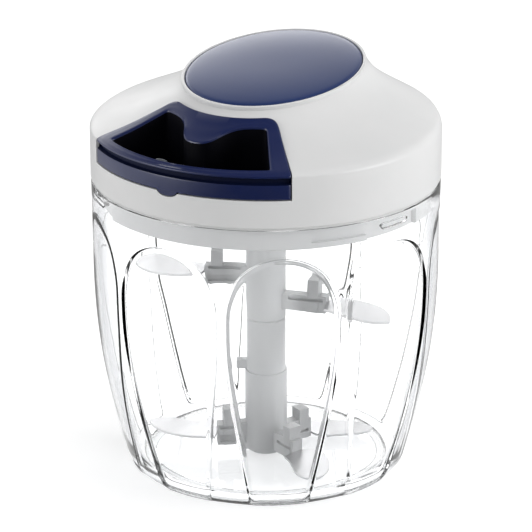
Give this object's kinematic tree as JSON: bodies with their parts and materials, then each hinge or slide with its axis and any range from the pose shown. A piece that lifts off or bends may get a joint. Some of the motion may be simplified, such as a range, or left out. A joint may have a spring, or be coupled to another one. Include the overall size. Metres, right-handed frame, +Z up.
{
  "type": "pull-string food chopper",
  "caption": "Clear fluted bowl with a white lid, a blue pull handle on a cord, a slanted blue oval cap and a stack of curved blades on an upright shaft.",
  "frame": {"origin": "centre of the foot on the table, on the bowl's axis", "axes": "+Z up along the bowl's axis, -Y toward the pull handle, +X to the right of someone who faces the handle"},
  "size_m": [0.135, 0.135, 0.1649],
  "materials": {
    "clear_plastic": "clear, polished",
    "white_plastic": "satin gloss",
    "blue_plastic": "satin",
    "dark_blue_plastic": "satin",
    "grey_plastic": "moulded",
    "steel": "polished",
    "seal_rubber": "soft, translucent",
    "cord_nylon": "braided"
  },
  "bodies": {
    "bowl": {"bowl": "clear_plastic", "pivot_pin": "steel", "foot_ring": "seal_rubber"},
    "seal": {"lid_seal": "seal_rubber"},
    "lid": {"lid_shell": "white_plastic", "top_cap": "blue_plastic", "inner_cover": "white_plastic", "cover_screws": "steel", "handle_well": "dark_blue_plastic", "cord_eyelet": "steel", "spindle": "steel", "socket_bush": "grey_plastic", "recoil_spring": "steel", "cord_feed": "cord_nylon"},
    "handle": {"pull_handle": "blue_plastic", "cord_knot": "cord_nylon", "cord_lead": "cord_nylon"},
    "drum": {"cord_drum": "grey_plastic", "spring_cap": "grey_plastic", "cord_winding": "cord_nylon"},
    "rotor": {"drive_socket": "grey_plastic", "pawl_pins": "steel"},
    "right_pawl": {"pawl_right": "grey_plastic"},
    "left_pawl": {"pawl_left": "grey_plastic"},
    "blades": {"lower_hub": "white_plastic", "shaft_collar": "white_plastic", "upper_hub": "white_plastic", "blade_low_left": "steel", "blade_low_front": "steel", "blade_low_back": "steel", "blade_top_left": "steel", "blade_top_right": "steel"}
  },
  "joints": [
    {"name": "lid_lift", "type": "slide", "parent": "bowl", "child": "seal", "axis": [0, 0, 1], "range_m": [0, 0.14]},
    {"name": "lid_turn", "type": "hinge", "parent": "seal", "child": "lid", "pos_m": [0, 0, 0.1184], "axis": [0, 0, 1], "range_deg": [0, 20]},
    {"name": "handle_pull", "type": "slide", "parent": "lid", "child": "handle", "axis": [0, -1, 0], "range_m": [0, 0.3], "stiffness_N_per_m": 10, "springref_m": -0.15, "deforming": ["cord_lead"]},
    {"name": "drum_spin", "type": "hinge", "parent": "lid", "child": "drum", "pos_m": [0, 0, 0.134], "axis": [0, 0, 1], "range_deg": [0, 1080]},
    {"name": "rotor_spin", "type": "hinge", "parent": "lid", "child": "rotor", "pos_m": [0, 0, 0.114], "axis": [0, 0, 1], "range_deg": [0, 1080]},
    {"name": "right_pawl_swing", "type": "hinge", "parent": "rotor", "child": "right_pawl", "pos_m": [0.0106, -0.0089, 0.118], "axis": [0, 0, -1], "range_deg": [0, 12]},
    {"name": "left_pawl_swing", "type": "hinge", "parent": "rotor", "child": "left_pawl", "pos_m": [-0.0106, 0.0089, 0.118], "axis": [0, 0, -1], "range_deg": [0, 12]},
    {"name": "blade_seat", "type": "slide", "parent": "rotor", "child": "blades", "axis": [0, 0, -1], "range_m": [0, 0.14]}
  ],
  "couplings": [
    {"joint": "drum_spin", "follows": "handle_pull", "rad_per_m": 62.305},
    {"joint": "rotor_spin", "follows": "handle_pull", "rad_per_m": 62.305},
    {"joint": "blade_seat", "follows": "lid_lift", "ratio": 1}
  ]
}
